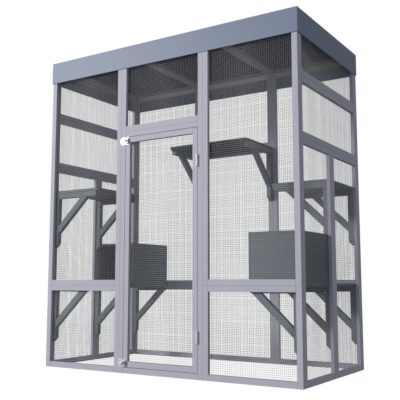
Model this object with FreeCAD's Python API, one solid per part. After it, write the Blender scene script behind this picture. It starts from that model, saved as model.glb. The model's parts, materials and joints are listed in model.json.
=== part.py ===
import FreeCAD, Part
import os

# A timber catio: a free-standing outdoor cat enclosure of framed wire mesh panels
# with a hinged front door, a boarded roof, wall shelves on brackets and two cat houses.
# Lengths are in millimetres. X runs left to right, Y from the front to the back, Z up.
# The frame's origin is on the ground, at the centre of the whole outline.

V = FreeCAD.Vector

# Wall timbers and bays
timber_width = 34.0
timber_depth = 20.0
bay_width = 600.0
side_length = 882.0
wall_height = 1987.0
front_lower_height = 519.0
side_middle_height = 340.0
side_top_height = 340.0

# Wire mesh
wire_thickness = 1.2
strand_width = 2.6
net_pitch = 55.0
net_lap = 6.0

# Door and its surround
transom_height = 519.0
transom_rail_width = 35.0
door_gap = 2.0

# Door hinges
hinge_height = 69.0
hinge_inset = 161.0
hinge_leaf_thickness = 0.8
hinge_leaf_depth = 16.0
hinge_barrel_radius = 6.0
hinge_barrel_standoff = 0.5
hinge_pin_radius = 2.0
hinge_pin_play = 0.05
hinge_pin_reach = 1.5
hinge_knuckle_gap = 0.4

# Door bolts and their keepers
bolt_travel = 9.0
bolt_plate_height = 48.0
bolt_plate_width = 22.0
bolt_plate_thickness = 2.0
bolt_plate_inset = 1.0
bolt_rod_radius = 4.0
bolt_rod_inset = 0.5
bolt_play = 0.5
bolt_guide_width = 3.5
bolt_guide_wall = 2.0
bolt_knob_radius = 2.0
bolt_knob_length = 10.0
bolt_knob_gap = 0.75
keeper_plate_width = 36.0
keeper_plate_chamfer = 12.0
keeper_loop_width = 18.0

# Roof panels and fascia
roof_frame_height = 20.0
roof_board_thickness = 10.0
fascia_thickness = 5.0
fascia_height = 140.0

# Shelves and their brackets
board_thickness = 16.0
board_corner_radius = 18.0
board_wall_gap = 0.3
edge_rail_height = 12.0
edge_rail_width = 18.0
lower_shelf_reach = 310.0
lower_shelf_rise = 11.0
high_shelf_reach = 377.0
upper_shelf_joint_gap = 4.5
upper_shelf_drop = 168.0
middle_shelf_drop = 3.0
bracket_width = 38.0
bracket_thickness = 18.0
bracket_drop = 329.0
bracket_arm_height = 28.0
bracket_chamfer = 25.0
brace_drop = 239.0
brace_reach = 290.0

# Cat houses
house_width = 305.0
house_length = 410.0
house_height = 280.0
house_board = 12.0
house_wall_gap = 1.0

# Screw heads that show
screw_head_radius = 3.8
screw_head_height = 1.2
front_screw_shares = (0.0388, 0.224, 0.317, 0.601, 0.6855, 0.7715, 0.8586)
bracket_screw_shares = (0.185, 0.835)

# Places that follow from the sizes
row_width = bay_width + bay_width + bay_width
half_width = row_width / 2
post_x = bay_width / 2
bolt_axis_reach = bolt_plate_thickness + bolt_play + bolt_rod_radius
bolt_reach = bolt_axis_reach + bolt_rod_radius + bolt_knob_length
wall_run = timber_depth + side_length + timber_depth
front_y = (bolt_reach - wall_run - fascia_thickness) / 2
front_inner_y = front_y + timber_depth
back_inner_y = front_inner_y + side_length
back_y = back_inner_y + timber_depth
side_inner_x = half_width - timber_depth
side_joint_y = (front_inner_y + back_inner_y) / 2
side_upper_height = wall_height - side_top_height
side_lower_height = side_upper_height - side_middle_height
net_front_y = front_inner_y + wire_thickness
net_back_y = back_inner_y - wire_thickness
net_side_x = side_inner_x - wire_thickness
opening_half = post_x - timber_width
door_half = opening_half - door_gap
door_bottom = timber_width + door_gap
transom_bottom = wall_height - transom_height
transom_top = wall_height - timber_width
door_head_height = transom_bottom - timber_width
door_top = door_head_height - door_gap
lower_shelf_height = front_lower_height + lower_shelf_rise
upper_shelf_height = side_lower_height - upper_shelf_drop
middle_shelf_height = transom_bottom - middle_shelf_drop
roof_top = wall_height + roof_frame_height + roof_board_thickness

# Walls as an axis, an outer or lower face and the opposite face
front_wall = ("y", front_y, front_inner_y)
back_wall = ("y", back_inner_y, back_y)
left_wall = ("x", -half_width, -side_inner_x)
right_wall = ("x", side_inner_x, half_width)
roof_layer = ("z", wall_height, wall_height + roof_frame_height)
roof_board_layer = ("z", wall_height + roof_frame_height, roof_top)
front_net_layer = ("y", front_inner_y, net_front_y)
back_net_layer = ("y", net_back_y, back_inner_y)
left_net_layer = ("x", -side_inner_x, -net_side_x)
right_net_layer = ("x", net_side_x, side_inner_x)


def box(x0, x1, y0, y1, z0, z1):
    """A square block between pairs of faces."""
    return Part.makeBox(x1 - x0, y1 - y0, z1 - z0, V(x0, y0, z0))


def place(layer, u, v):
    """A point on the low face of a layer."""
    axis, low, high = layer
    if axis == "x":
        return V(low, u, v)
    if axis == "y":
        return V(u, low, v)
    return V(u, v, low)


def through(layer):
    """The vector from the low face of a layer to its high face."""
    axis, low, high = layer
    if axis == "x":
        return V(high - low, 0, 0)
    if axis == "y":
        return V(0, high - low, 0)
    return V(0, 0, high - low)


def slab(layer, u0, u1, v0, v1):
    """A block that fills a layer's thickness."""
    axis, low, high = layer
    if axis == "x":
        return box(low, high, u0, u1, v0, v1)
    if axis == "y":
        return box(u0, u1, low, high, v0, v1)
    return box(u0, u1, v0, v1, low, high)


def timber_frame(layer, u0, u1, v0, v1):
    """Two full-height stiles with two rails butted between them."""
    return [
        slab(layer, u0, u0 + timber_width, v0, v1),
        slab(layer, u1 - timber_width, u1, v0, v1),
        slab(layer, u0 + timber_width, u1 - timber_width, v0, v0 + timber_width),
        slab(layer, u0 + timber_width, u1 - timber_width, v1 - timber_width, v1),
    ]


def net(layer, u0, u1, v0, v1):
    """A flat wire net over an opening, lapped onto the timbers, as one holed face."""
    columns = max(1, round((u1 - u0) / net_pitch))
    rows = max(1, round((v1 - v0) / net_pitch))
    column_pitch = (u1 - u0) / columns
    row_pitch = (v1 - v0) / rows
    half_strand = strand_width / 2
    loops = [[(u0 - net_lap, v0 - net_lap), (u1 + net_lap, v0 - net_lap),
              (u1 + net_lap, v1 + net_lap), (u0 - net_lap, v1 + net_lap)]]
    for column in range(columns):
        for row in range(rows):
            left = u0 + column * column_pitch + half_strand
            right = u0 + (column + 1) * column_pitch - half_strand
            low = v0 + row * row_pitch + half_strand
            high = v0 + (row + 1) * row_pitch - half_strand
            loops.append([(left, low), (left, high), (right, high), (right, low)])
    wires = []
    for loop in loops:
        points = [place(layer, u, v) for u, v in loop]
        wires.append(Part.makePolygon(points + [points[0]]))
    return Part.Face(wires).extrude(through(layer))


def framed_net(layer, u0, u1, v0, v1):
    """The net of a framed panel, from the panel's own outline."""
    return net(layer, u0 + timber_width, u1 - timber_width, v0 + timber_width, v1 - timber_width)


def save(name, solids):
    """Write the solids of one piece, or of one set of like pieces."""
    shape = solids[0] if len(solids) == 1 else Part.makeCompound(solids)
    volume = sum(solid.Volume for solid in solids)
    print(name, len(solids), "solids", round(volume / 1000), "cm3", shape.isValid())
    shape.exportStep(os.path.join("parts", name + ".step"))


os.makedirs("parts", exist_ok=True)

# Front panels on each side of the door
for side_name, bay_start in (("left", -half_width), ("right", post_x)):
    bay_end = bay_start + bay_width
    save("front_" + side_name + "_lower_frame",
         timber_frame(front_wall, bay_start, bay_end, 0, front_lower_height))
    save("front_" + side_name + "_upper_frame",
         timber_frame(front_wall, bay_start, bay_end, front_lower_height, wall_height))
    save("front_" + side_name + "_lower_mesh",
         [framed_net(front_net_layer, bay_start, bay_end, 0, front_lower_height)])
    save("front_" + side_name + "_upper_mesh",
         [framed_net(front_net_layer, bay_start, bay_end, front_lower_height, wall_height)])

# Door surround with its sill, head and transom
save("door_surround", [
    slab(front_wall, -post_x, -opening_half, 0, wall_height),
    slab(front_wall, opening_half, post_x, 0, wall_height),
    slab(front_wall, -opening_half, opening_half, 0, timber_width),
    slab(front_wall, -opening_half, opening_half, door_head_height, transom_bottom),
    slab(front_wall, -opening_half, opening_half, transom_bottom, transom_bottom + transom_rail_width),
    slab(front_wall, -opening_half, opening_half, transom_top, wall_height),
])
save("transom_mesh",
     [net(front_net_layer, -opening_half, opening_half, transom_bottom + transom_rail_width, transom_top)])

# Door leaf
save("door_frame", timber_frame(front_wall, -door_half, door_half, door_bottom, door_top))
save("door_mesh", [framed_net(front_net_layer, -door_half, door_half, door_bottom, door_top)])

# Hinges on the right edge of the door, with their barrels in front of the face
hinge_x = opening_half - door_gap / 2
hinge_y = front_y - hinge_barrel_standoff - hinge_barrel_radius
knuckle_height = (hinge_height - hinge_knuckle_gap - hinge_knuckle_gap) / 3
bore_radius = hinge_pin_radius + hinge_pin_play


def knuckle(leaf_x0, leaf_x1, base, height):
    """A hinge knuckle with the finger that joins it to its leaf, bored for the pin."""
    ring = Part.makeCylinder(hinge_barrel_radius, height, V(hinge_x, hinge_y, base))
    finger = box(leaf_x0, leaf_x1, hinge_y, front_y, base, base + height)
    bore = Part.makeCylinder(bore_radius, height, V(hinge_x, hinge_y, base))
    return ring.fuse(finger).cut(bore)


door_leaves = []
post_leaves = []
pins = []
for base in (door_bottom + hinge_inset, door_top - hinge_inset - hinge_height):
    top = base + hinge_height
    leaf_end_y = front_y + hinge_leaf_depth
    door_x1 = door_half + hinge_leaf_thickness
    post_x0 = opening_half - hinge_leaf_thickness
    middle = base + knuckle_height + hinge_knuckle_gap
    upper = top - knuckle_height
    door_leaf = box(door_half, door_x1, front_y, leaf_end_y, base, top)
    door_leaves.append(door_leaf.fuse(knuckle(door_half, door_x1, middle, knuckle_height)))
    post_leaf = box(post_x0, opening_half, front_y, leaf_end_y, base, top)
    post_leaf = post_leaf.fuse(knuckle(post_x0, opening_half, base, knuckle_height))
    post_leaves.append(post_leaf.fuse(knuckle(post_x0, opening_half, upper, knuckle_height)))
    pin_length = hinge_height + hinge_pin_reach + hinge_pin_reach
    pins.append(Part.makeCylinder(hinge_pin_radius, pin_length,
                                  V(hinge_x, hinge_y, base - hinge_pin_reach)))
save("door_hinge_leaves", door_leaves)
save("post_hinge_leaves", post_leaves)
save("hinge_pins", pins)

# Slide bolts at the free edge of the door, drawn back, and keepers on the post
plate_y = front_y - bolt_plate_thickness
rod_y = front_y - bolt_axis_reach
rod_half_room = bolt_rod_radius + bolt_play
loop_front_y = rod_y - rod_half_room
loop_outer_y = loop_front_y - bolt_guide_wall
loop_outer = rod_half_room + bolt_guide_wall
plate_x0 = bolt_plate_inset - door_half
rod_x0 = bolt_rod_inset - door_half
knob_room = bolt_travel + bolt_knob_radius + bolt_knob_radius + bolt_knob_gap + bolt_knob_gap
guide_x1 = rod_x0 + bolt_guide_width + knob_room
knob_x = guide_x1 - bolt_knob_gap - bolt_knob_radius
rod_length = bolt_guide_width + knob_room + bolt_guide_width + bolt_travel
keeper_x1 = -opening_half - bolt_plate_inset
keeper_x0 = keeper_x1 - keeper_plate_width


def staple(x0, x1, rod_z):
    """Two cheeks and a bridge round the bolt's rod."""
    return [
        box(x0, x1, loop_front_y, plate_y, rod_z - loop_outer, rod_z - rod_half_room),
        box(x0, x1, loop_front_y, plate_y, rod_z + rod_half_room, rod_z + loop_outer),
        box(x0, x1, loop_outer_y, loop_front_y, rod_z - loop_outer, rod_z + loop_outer),
    ]


bolt_plates = []
keepers = []
bolts = {}
half_plate = bolt_plate_height / 2
for name, rod_z in (("bottom_bolt", door_bottom + half_plate), ("top_bolt", door_top - half_plate)):
    low = rod_z - half_plate
    high = rod_z + half_plate
    bolt_plates.append(box(plate_x0, plate_x0 + bolt_plate_width, plate_y, front_y, low, high))
    bolt_plates.extend(staple(rod_x0, rod_x0 + bolt_guide_width, rod_z))
    bolt_plates.extend(staple(guide_x1, guide_x1 + bolt_guide_width, rod_z))
    rod = Part.makeCylinder(bolt_rod_radius, rod_length, V(rod_x0, rod_y, rod_z), V(1, 0, 0))
    knob_length = bolt_rod_radius + bolt_knob_length
    knob = Part.makeCylinder(bolt_knob_radius, knob_length, V(knob_x, rod_y, rod_z), V(0, -1, 0))
    bolts[name] = [rod, knob.cut(rod)]
    outline = [
        V(keeper_x0 + keeper_plate_chamfer, plate_y, low),
        V(keeper_x1, plate_y, low),
        V(keeper_x1, plate_y, high),
        V(keeper_x0 + keeper_plate_chamfer, plate_y, high),
        V(keeper_x0, plate_y, high - keeper_plate_chamfer),
        V(keeper_x0, plate_y, low + keeper_plate_chamfer),
    ]
    plate = Part.Face(Part.makePolygon(outline + [outline[0]]))
    keepers.append(plate.extrude(V(0, bolt_plate_thickness, 0)))
    keepers.extend(staple(keeper_x1 - keeper_loop_width, keeper_x1, rod_z))
save("bolt_plates", bolt_plates)
save("bolt_keepers", keepers)
for name, solids in bolts.items():
    save(name, solids)

# Side walls, each of two tall lower panels and two panels that run the full length above
side_panels = (
    ("lower_front", front_inner_y, side_joint_y, 0, side_lower_height),
    ("lower_back", side_joint_y, back_inner_y, 0, side_lower_height),
    ("middle", front_inner_y, back_inner_y, side_lower_height, side_upper_height),
    ("top", front_inner_y, back_inner_y, side_upper_height, wall_height),
)
for side_name, wall, net_layer in (("left", left_wall, left_net_layer), ("right", right_wall, right_net_layer)):
    nets = []
    for panel_name, y0, y1, z0, z1 in side_panels:
        save(side_name + "_wall_" + panel_name + "_frame", timber_frame(wall, y0, y1, z0, z1))
        nets.append(framed_net(net_layer, y0, y1, z0, z1))
    save(side_name + "_wall_mesh", nets)

# Back wall and roof, two or three wall panels one above the other and a roof panel to each bay
outer_bay_panels = (
    ("lower", 0, front_lower_height),
    ("upper", front_lower_height, wall_height),
)
middle_bay_panels = (
    ("lower", 0, front_lower_height),
    ("upper", front_lower_height, transom_bottom),
    ("top", transom_bottom, wall_height),
)
nets = []
for bay_name, bay_start, panels in (
    ("left", -half_width, outer_bay_panels),
    ("middle", -post_x, middle_bay_panels),
    ("right", post_x, outer_bay_panels),
):
    bay_end = bay_start + bay_width
    for panel_name, z0, z1 in panels:
        save("back_" + bay_name + "_" + panel_name + "_frame",
             timber_frame(back_wall, bay_start, bay_end, z0, z1))
        nets.append(framed_net(back_net_layer, bay_start, bay_end, z0, z1))
    save("roof_" + bay_name + "_frame", timber_frame(roof_layer, bay_start, bay_end, front_y, back_y))
    save("roof_" + bay_name + "_board", [slab(roof_board_layer, bay_start, bay_end, front_y, back_y)])
save("back_wall_mesh", nets)

# Fascia boards round the top of the walls and the roof
fascia_bottom = roof_top - fascia_height
outer_x = half_width + fascia_thickness
save("front_fascia", [box(-outer_x, outer_x, front_y - fascia_thickness, front_y, fascia_bottom, roof_top)])
save("back_fascia", [box(-outer_x, outer_x, back_y, back_y + fascia_thickness, fascia_bottom, roof_top)])
save("left_fascia", [box(-outer_x, -half_width, front_y, back_y, fascia_bottom, roof_top)])
save("right_fascia", [box(half_width, outer_x, front_y, back_y, fascia_bottom, roof_top)])


# Shelves: a board on bracket arms, with a rail under its free edge
def wall_point(side, out, along, height):
    """A point at a distance out from a wall's inner face and along it."""
    if side == "left":
        return V(out - side_inner_x, along, height)
    if side == "right":
        return V(side_inner_x - out, along, height)
    return V(along, back_inner_y - out, height)


def wall_prism(side, outline, along0, along1):
    """An upright outline of points out from the wall and up, run along the wall."""
    points = [wall_point(side, out, along0, height) for out, height in outline]
    face = Part.Face(Part.makePolygon(points + [points[0]]))
    step = wall_point(side, 0, along1, 0) - wall_point(side, 0, along0, 0)
    return face.extrude(step)


def shelf_board(side, reach, along0, along1, top):
    """A board with its two free corners rounded."""
    inner = wire_thickness + board_wall_gap
    edge = reach - board_corner_radius
    turn = board_corner_radius * (1 - 0.5 ** 0.5)
    bottom = top - board_thickness
    start = along0 + board_corner_radius
    end = along1 - board_corner_radius
    points = [
        wall_point(side, inner, along0, bottom),
        wall_point(side, edge, along0, bottom),
        wall_point(side, reach - turn, along0 + turn, bottom),
        wall_point(side, reach, start, bottom),
        wall_point(side, reach, end, bottom),
        wall_point(side, reach - turn, along1 - turn, bottom),
        wall_point(side, edge, along1, bottom),
        wall_point(side, inner, along1, bottom),
    ]
    edges = [
        Part.makeLine(points[0], points[1]),
        Part.Arc(points[1], points[2], points[3]).toShape(),
        Part.makeLine(points[3], points[4]),
        Part.Arc(points[4], points[5], points[6]).toShape(),
        Part.makeLine(points[6], points[7]),
        Part.makeLine(points[7], points[0]),
    ]
    return Part.Face(Part.Wire(edges)).extrude(V(0, 0, board_thickness))


def bracket(side, reach, middle, arm_top):
    """A wall leg, an arm over it and a slanting brace between them."""
    arm_bottom = arm_top - bracket_arm_height
    leg_bottom = arm_bottom - bracket_drop
    along0 = middle - bracket_thickness / 2
    along1 = middle + bracket_thickness / 2
    run = brace_reach - bracket_width
    slope_length = (run * run + brace_drop * brace_drop) ** 0.5
    brace_rise = bracket_width * slope_length / run
    brace_run = bracket_width * slope_length / brace_drop
    leg = [
        (0, leg_bottom),
        (bracket_width - bracket_chamfer, leg_bottom),
        (bracket_width, leg_bottom + bracket_chamfer),
        (bracket_width, arm_bottom),
        (0, arm_bottom),
    ]
    arm_end = reach - edge_rail_width
    arm = [(0, arm_bottom), (arm_end, arm_bottom), (arm_end, arm_top), (0, arm_top)]
    brace = [
        (bracket_width, arm_bottom - brace_drop),
        (brace_reach, arm_bottom),
        (brace_reach - brace_run, arm_bottom),
        (bracket_width, arm_bottom - brace_drop + brace_rise),
    ]
    return [wall_prism(side, outline, along0, along1) for outline in (leg, arm, brace)]


front_bracket_y = front_inner_y + timber_width / 2
back_bracket_y = back_inner_y - timber_width / 2
left_middle_bracket_y = side_joint_y - timber_width / 2
right_middle_bracket_y = side_joint_y + timber_width / 2
back_bracket_x = post_x - timber_width / 2
side_start = net_front_y + board_wall_gap
side_end = net_back_y - board_wall_gap
shelves = (
    ("lower_left_shelf", "left", lower_shelf_reach, side_start, side_end, lower_shelf_height,
     (front_bracket_y, left_middle_bracket_y, back_bracket_y)),
    ("lower_right_shelf", "right", lower_shelf_reach, side_start, side_end, lower_shelf_height,
     (front_bracket_y, right_middle_bracket_y, back_bracket_y)),
    ("upper_left_shelf", "left", high_shelf_reach, side_start, side_joint_y - upper_shelf_joint_gap,
     upper_shelf_height, (front_bracket_y, left_middle_bracket_y)),
    ("upper_right_shelf", "right", high_shelf_reach, side_joint_y + upper_shelf_joint_gap, side_end,
     upper_shelf_height, (right_middle_bracket_y, back_bracket_y)),
    ("middle_shelf", "back", high_shelf_reach, -post_x, post_x, middle_shelf_height,
     (-back_bracket_x, back_bracket_x)),
)
bracket_screw_places = []
for name, side, reach, along0, along1, top, middles in shelves:
    arm_top = top - board_thickness
    rail_outline = [
        (reach - edge_rail_width, arm_top - edge_rail_height),
        (reach, arm_top - edge_rail_height),
        (reach, arm_top),
        (reach - edge_rail_width, arm_top),
    ]
    rail = wall_prism(side, rail_outline, along0 + board_corner_radius, along1 - board_corner_radius)
    save(name, [shelf_board(side, reach, along0, along1, top), rail])
    solids = []
    for middle in middles:
        solids.extend(bracket(side, reach, middle, arm_top))
        leg_bottom = arm_top - bracket_arm_height - bracket_drop
        for share in bracket_screw_shares:
            bracket_screw_places.append((side, middle, leg_bottom + share * bracket_drop))
    save(name + "_brackets", solids)


# Cat houses on the lower shelves, each open at the end that faces the enclosure's middle
def cat_house(x0, y0, open_low_y):
    """A floor, two sides, a roof and one closed end."""
    x1 = x0 + house_width
    y1 = y0 + house_length
    z0 = lower_shelf_height
    z1 = z0 + house_height
    inner_low = z0 + house_board
    inner_high = z1 - house_board
    closed_y = y1 - house_board if open_low_y else y0
    return [
        box(x0, x1, y0, y1, z0, inner_low),
        box(x0, x1, y0, y1, inner_high, z1),
        box(x0, x0 + house_board, y0, y1, inner_low, inner_high),
        box(x1 - house_board, x1, y0, y1, inner_low, inner_high),
        box(x0 + house_board, x1 - house_board, closed_y, closed_y + house_board, inner_low, inner_high),
    ]


house_x = net_side_x - house_wall_gap
house_margin = (side_joint_y - front_inner_y - house_length) / 2
save("left_cat_house", cat_house(-house_x, side_joint_y + house_margin, True))
save("right_cat_house", cat_house(house_x - house_width, front_inner_y + house_margin, False))

# Screw heads that show outside: the end panels to the side walls, the brackets to the walls
screw_x = half_width - timber_width / 2
screws = []
for x in (-screw_x, screw_x):
    for share in front_screw_shares:
        height = share * wall_height
        screws.append(Part.makeCylinder(screw_head_radius, screw_head_height,
                                        V(x, front_y, height), V(0, -1, 0)))
        screws.append(Part.makeCylinder(screw_head_radius, screw_head_height,
                                        V(x, back_y, height), V(0, 1, 0)))
for side, middle, height in bracket_screw_places:
    outward = -wall_point(side, 1, 0, 0) + wall_point(side, 0, 0, 0)
    start = wall_point(side, -timber_depth, middle, height)
    screws.append(Part.makeCylinder(screw_head_radius, screw_head_height, start, outward))
save("screw_heads", screws)
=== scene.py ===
import json
import math
import random

import bmesh
import bpy
from mathutils import Matrix, Vector

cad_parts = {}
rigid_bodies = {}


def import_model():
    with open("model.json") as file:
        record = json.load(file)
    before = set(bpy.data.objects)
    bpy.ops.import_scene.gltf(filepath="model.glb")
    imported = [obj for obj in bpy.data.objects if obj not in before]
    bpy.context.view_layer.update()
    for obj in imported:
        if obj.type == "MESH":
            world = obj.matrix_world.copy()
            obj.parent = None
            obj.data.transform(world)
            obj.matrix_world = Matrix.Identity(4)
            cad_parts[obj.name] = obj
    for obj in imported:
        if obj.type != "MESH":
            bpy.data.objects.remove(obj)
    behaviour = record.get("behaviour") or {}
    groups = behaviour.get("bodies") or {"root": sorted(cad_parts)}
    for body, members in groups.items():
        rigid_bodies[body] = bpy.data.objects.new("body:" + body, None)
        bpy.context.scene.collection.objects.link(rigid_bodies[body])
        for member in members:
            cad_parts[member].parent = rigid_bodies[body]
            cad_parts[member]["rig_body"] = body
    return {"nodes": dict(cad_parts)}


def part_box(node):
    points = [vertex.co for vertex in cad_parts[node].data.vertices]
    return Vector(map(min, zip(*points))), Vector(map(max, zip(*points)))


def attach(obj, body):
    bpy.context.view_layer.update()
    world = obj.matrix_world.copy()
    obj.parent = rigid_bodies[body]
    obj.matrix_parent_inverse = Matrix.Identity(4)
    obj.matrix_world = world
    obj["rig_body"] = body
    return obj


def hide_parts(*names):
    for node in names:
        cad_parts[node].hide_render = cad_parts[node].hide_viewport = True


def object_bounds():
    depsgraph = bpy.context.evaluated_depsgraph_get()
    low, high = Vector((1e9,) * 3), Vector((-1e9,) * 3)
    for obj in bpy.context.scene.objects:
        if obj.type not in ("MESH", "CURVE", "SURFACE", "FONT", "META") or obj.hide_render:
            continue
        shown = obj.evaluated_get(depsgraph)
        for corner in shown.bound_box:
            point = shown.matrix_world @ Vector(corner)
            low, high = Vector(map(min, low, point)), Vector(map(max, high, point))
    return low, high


bl_info = {
    "name": "Timber catio",
    "version": (1, 0, 0),
    "blender": (4, 5, 0),
    "location": "View3D > Sidebar > Catio",
    "description": "Dresses a timber cat enclosure with planed boards, welded wire, hardware and paint",
    "category": "Object",
}

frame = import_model()
cad_low, cad_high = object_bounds()

# Groups of like pieces
FRONT_FRAMES = [f"front_{side}_{row}_frame" for side in ("left", "right") for row in ("lower", "upper")]
SIDE_FRAMES = ("lower_front", "lower_back", "middle", "top")
BACK_FRAMES = ("left_lower", "left_upper", "middle_lower", "middle_upper", "middle_top",
               "right_lower", "right_upper")
TOP_RAILS = {"back_left_upper_frame": "pale_pine", "back_middle_top_frame": "pale_pine",
             "back_right_upper_frame": "bare_pine"}
SHELVES = ("lower_left_shelf", "lower_right_shelf", "upper_left_shelf", "upper_right_shelf", "middle_shelf")

# Directions, as seen from the front
LEFT, RIGHT = Vector((-1, 0, 0)), Vector((1, 0, 0))
FRONT, BACK = Vector((0, -1, 0)), Vector((0, 1, 0))
UP = Vector((0, 0, 1))

# Boards: the map along the grain and its greatest shift, the mark of eased edges and the turn from
# which a corner is eased, and edges as shares of the felt or of the usual edge
GRAIN_UV, GRAIN_SHIFT = "Grain", 9.0
ARRIS, EASED_TURN = "arris", math.radians(30)
FELT_EDGE, FASCIA_EDGE, HOUSE_EDGE = 0.3, 0.6, 0.6
SHELF_CORNER_STEPS = 8

# Finishes: the shade of eased edges and the strength of patches as shares, how far the roughness
# rises and falls, and the height of the relief in metres
EDGE_SHADE, PATCH_STRENGTH = 0.42, 0.6
ROUGHER, SMOOTHER_WOOD, SMOOTHER_METAL = 0.1, 0.08, 0.07
WOOD_RELIEF, METAL_RELIEF = 0.0004, 0.0002

# Screw heads: (share of the radius, share of the height) from the rim up, and the length, width,
# height and rise of the dark bars that stand for the cross recess as painted shade
HEAD_PROFILE = ((0, 0), (1, 0), (1, 0.35), (0.8, 0.75), (0.45, 0.95), (0, 1))
BAR_LENGTH, BAR_WIDTH, BAR_HEIGHT, BAR_RISE = 0.95, 0.2, 0.62, 0.72

# Nets: how far the upright wires stand off the timbers' inner face, and the cross wires off them,
# as shares of a wire's radius
UPRIGHT_STAND_OFF, CROSS_STAND_OFF = 0.3, 1.6

# Hinge pins: a head's radius as a share of the pin's, and the dome on each end
PIN_HEAD, PIN_DOME = 1.9, 0.0014
PIN_DOME_PROFILE = ((0.6, 0.15), (1, 0.6), (1, 1))

# Bolts: turned ends as (share of the radius, distance from the end in metres)
ROD_NOSE = ((0.55, 0.0002), (0.85, 0.0009), (1, 0.0022))
ROD_TAIL = ((1, 0.001), (0.85, 0.0003))
KNOB_NECK = 0.8
KNOB_COLLAR = ((0.8, 0.0062), (1, 0.0056), (1, 0.0014), (0.8, 0.0004))

# Bolt plates and keepers, in metres: edges, the keeper's loop, the guides, the cover with its slot and
# the screws, with the keeper's places as shares of its width and half height
LATCH_EDGE, PLATE_INSET = 0.0004, 0.0005
LOOP_WALL, LOOP_FOOT, FOOT_RISE, LOOP_INSET, ARC_STEPS = 0.002, 0.006, 0.0012, 0.001, 12
GUIDE_WIDTH, GUIDE_CHAMFER, GUIDE_INSET = 0.0035, 0.002, 0.001
COVER_SIDE, COVER_FACE, SIDE_GAP, FACE_GAP, SLOT_HALF = 0.0015, 0.0014, 0.0004, 0.0001, 0.0072
KEEPER_SCREW, PLATE_SCREW, LATCH_SCREW_RISE = 0.0028, 0.0026, 0.0007
KEEPER_SCREW_PLACES = ((0.62, 0.68), (0.62, -0.68), (0.2, 0.0))

# Stage: the floor, the light cast by floor and surround, the lamps and the camera
FLOOR_REACH, FLOOR_DROP = 60.0, 0.0005
WHITE, COOL_WHITE = (1.0, 1.0, 1.0, 1.0), (0.87, 0.93, 1.0, 1.0)
FLOOR_LIGHT, SURROUND_LIGHT = 0.20, 0.38
LAMP_SIZE = 2.6
LAMPS = (  # name, power, what it is aimed at, the direction towards it and its distance
    ("key_light", 1650.0, (-0.9, -0.45, 1.6), (-0.62, -0.75, 0.32), 16.0),
    ("front_fill", 105.0, (0.0, 0.0, 1.2), (-0.30, -0.95, 0.02), 9.0),
)
LENS, SENSOR_WIDTH, CLIP_START, CLIP_END = 59.98, 36.0, 0.05, 200.0
CAMERA_PLACE = (2.30757, -3.63960, 0.53356)
CAMERA_TILT, CAMERA_TURN = math.radians(97.095), math.radians(32.441)


# Sizes and colours

def length(name, description, default, least=0.0):
    """A length in metres."""
    return bpy.props.FloatProperty(
        name=name, description=description, default=default, min=least, unit="LENGTH")


def colour(name, description, default):
    """A paint or metal colour shown as a swatch."""
    return bpy.props.FloatVectorProperty(
        name=name, description=description, default=default, size=3, min=0.0, max=1.0, subtype="COLOR")


class CatioSizes(bpy.types.PropertyGroup):
    """The dimensions of the dressed pieces."""
    timber_width: length("Timber width", "Face width of the wall, door and roof timbers", 0.034, 0.01)
    transom_rail_width: length("Transom rail width", "Height of the rail over the door", 0.035, 0.01)
    door_gap: length("Door gap", "Gap between the door leaf and its surround", 0.002)
    timber_edge: length("Timber edge", "How far the timbers' edges are eased", 0.0010, 0.0002)
    board_edge: length("Board edge", "How far shelves, houses and brackets are eased", 0.0018, 0.0002)
    wire_pitch: length("Wire pitch", "Spacing of the welded wires", 0.0113, 0.005)
    wire_diameter: length("Wire diameter", "Thickness of the wire with its coating", 0.00135, 0.0005)
    wire_lap: length("Wire lap", "How far the nets lap onto the timbers", 0.006)
    felt_thickness: length("Felt thickness", "Thickness of one layer of the roof felt", 0.0009, 0.0002)
    shelf_thickness: length("Shelf thickness", "Thickness of the shelf boards", 0.016, 0.005)
    shelf_corner: length("Shelf corner", "Radius of the free corners of the shelves", 0.012, 0.002)
    shelf_rail_width: length("Shelf rail width", "Width of the rail under a free edge", 0.018, 0.005)
    bracket_width: length("Bracket width", "Width of a bracket's leg and brace", 0.038, 0.01)
    bracket_thickness: length("Bracket thickness", "Thickness along the wall", 0.030, 0.01)
    bracket_arm: length("Bracket arm", "Height of a bracket's arm under the shelf", 0.035, 0.01)
    bracket_chamfer: length("Bracket chamfer", "Size of the cut corner at a leg's foot", 0.025)
    brace_drop: length("Brace drop", "How far down the leg a brace reaches", 0.232, 0.05)
    brace_reach: length("Brace reach", "How far out under the arm a brace reaches", 0.2826, 0.05)
    latch_plate: length("Latch plate", "Thickness of the bolt plates and keepers", 0.002, 0.0005)
    latch_height: length("Latch height", "Height of the bolt plates and keepers", 0.048, 0.02)
    bolt_body: length("Bolt body", "Height of the raised cover on a bolt's plate", 0.033, 0.015)
    bolt_play: length("Bolt play", "Room round a bolt's rod in its guides", 0.0005)
    bolt_knob: length("Bolt knob", "Radius of a bolt's knob", 0.002, 0.0005)
    bolt_knob_place: length("Bolt knob place", "Distance of the knob from the nose", 0.01525, 0.005)
    keeper_point: length("Keeper point", "Size of the cut corners at a keeper's end", 0.012)
    keeper_loop: length("Keeper loop", "Width of a keeper's loop along the rod", 0.014, 0.003)
    house_board: length("House board", "Thickness of the cat houses' boards", 0.012, 0.004)


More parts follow.
